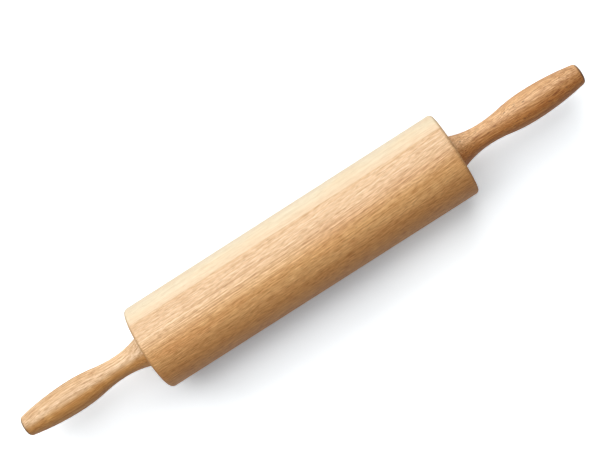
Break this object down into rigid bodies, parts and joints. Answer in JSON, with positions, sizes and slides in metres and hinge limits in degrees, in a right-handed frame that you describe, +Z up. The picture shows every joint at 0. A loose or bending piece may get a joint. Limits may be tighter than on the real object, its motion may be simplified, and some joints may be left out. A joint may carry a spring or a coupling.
{
  "type": "rolling pin",
  "caption": "Wooden rolling pin: a straight barrel glued from a tan and a pale board turns on ball bearings between two waisted wooden grips.",
  "frame": {"origin": "the middle of the barrel, on the axis that it turns about", "axes": "+X along the pin towards the right grip, +Z up from the table that it lies on, +Y towards the side where the pale board shows"},
  "size_m": [0.4528, 0.063, 0.063],
  "materials": {
    "oak_tan": "oiled satin oak, straight grain",
    "oak_pale": "oiled satin oak sapwood, faint grain",
    "oak_grip_left": "oiled satin oak, pale stripes",
    "oak_grip_right": "oiled satin oak, dark pores",
    "rod_steel": "drawn bright steel",
    "washer_steel": "stamped zinc plated steel",
    "clip_steel": "blackened spring steel",
    "bearing_steel": "ground bearing steel",
    "ball_steel": "polished bearing steel",
    "shield_steel": "pressed sheet steel",
    "insert_brass": "machined brass",
    "cage_plastic": "natural nylon"
  },
  "bodies": {
    "barrel": {"barrel_stave_tan": "oak_tan", "barrel_stave_pale": "oak_pale", "bearing_outer_ring_left": "bearing_steel", "bearing_inner_shield_left": "shield_steel", "bearing_outer_shield_left": "shield_steel", "bearing_outer_ring_right": "bearing_steel", "bearing_inner_shield_right": "shield_steel", "bearing_outer_shield_right": "shield_steel"},
    "axle": {"axle_rod": "rod_steel", "grip_left": "oak_grip_left", "grip_insert_left": "insert_brass", "spacer_washer_left": "washer_steel", "retaining_clip_left": "clip_steel", "bearing_inner_ring_left": "bearing_steel", "grip_right": "oak_grip_right", "grip_insert_right": "insert_brass", "spacer_washer_right": "washer_steel", "retaining_clip_right": "clip_steel", "bearing_inner_ring_right": "bearing_steel"},
    "ball_set_left": {"bearing_balls_left": "ball_steel", "bearing_cage_left": "cage_plastic"},
    "ball_set_right": {"bearing_balls_right": "ball_steel", "bearing_cage_right": "cage_plastic"}
  },
  "joints": [
    {"name": "axle_spin", "type": "hinge", "parent": "barrel", "child": "axle", "pos_m": [0, 0, 0], "axis": [1, 0, 0], "continuous": true},
    {"name": "ball_set_left_spin", "type": "hinge", "parent": "barrel", "child": "ball_set_left", "pos_m": [-0.12, 0, 0], "axis": [1, 0, 0], "continuous": true},
    {"name": "ball_set_right_spin", "type": "hinge", "parent": "barrel", "child": "ball_set_right", "pos_m": [0.12, 0, 0], "axis": [1, 0, 0], "continuous": true}
  ],
  "couplings": [
    {"joint": "ball_set_left_spin", "follows": "axle_spin", "ratio": 0.3677},
    {"joint": "ball_set_right_spin", "follows": "axle_spin", "ratio": 0.3677}
  ]
}
